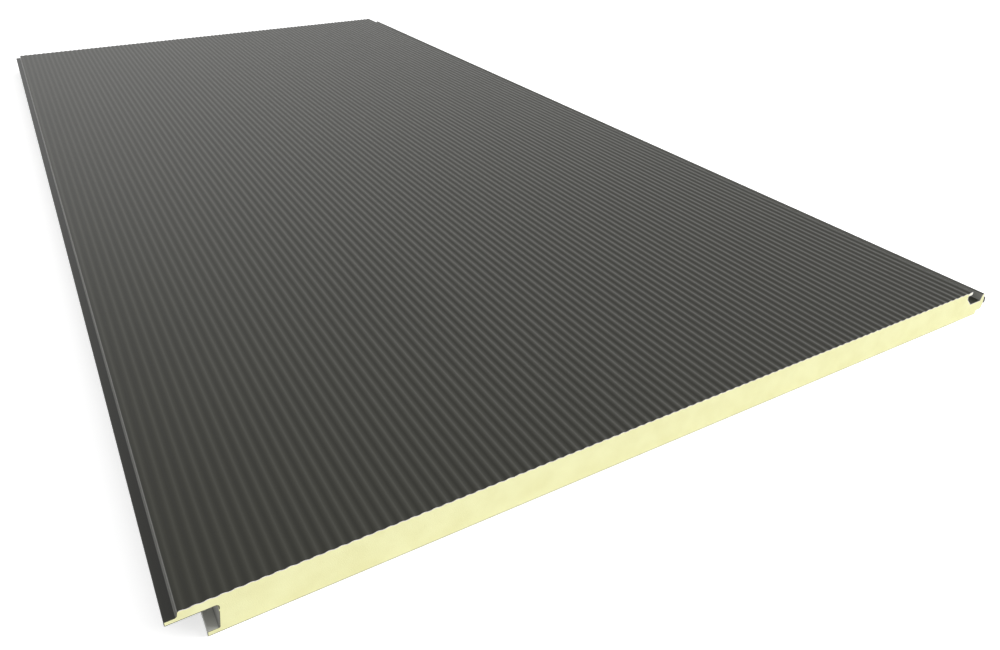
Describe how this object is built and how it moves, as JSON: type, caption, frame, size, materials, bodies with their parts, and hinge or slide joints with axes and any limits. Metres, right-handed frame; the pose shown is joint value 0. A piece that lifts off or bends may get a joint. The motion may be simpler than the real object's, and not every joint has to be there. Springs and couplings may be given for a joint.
{
  "type": "insulated sandwich panel",
  "caption": "Foam-cored steel sandwich panel for walls and facades, with a finely ribbed outer face and a hidden tongue, slot, groove and nose joint along its long edges.",
  "frame": {"origin": "middle of the whole panel's box, on the plane of the inner face that it lies on", "axes": "+Y along the panel's length and its ribs, +Z from the inner face to the ribbed outer face, +X from the tongue edge to the nose edge"},
  "size_m": [1.0409, 2.06, 0.04],
  "materials": {
    "outer_paint": "matt dark anthracite coating on roll-formed steel",
    "core_foam": "pale yellow rigid foam, fine closed cells on the cut ends",
    "inner_paint": "satin light-grey coating on roll-formed steel",
    "seal_foam": "matt dark grey soft foam strip"
  },
  "bodies": {
    "root": {"outer_sheet": "outer_paint", "foam_core": "core_foam", "inner_sheet": "inner_paint", "joint_seal": "seal_foam"}
  },
  "joints": []
}
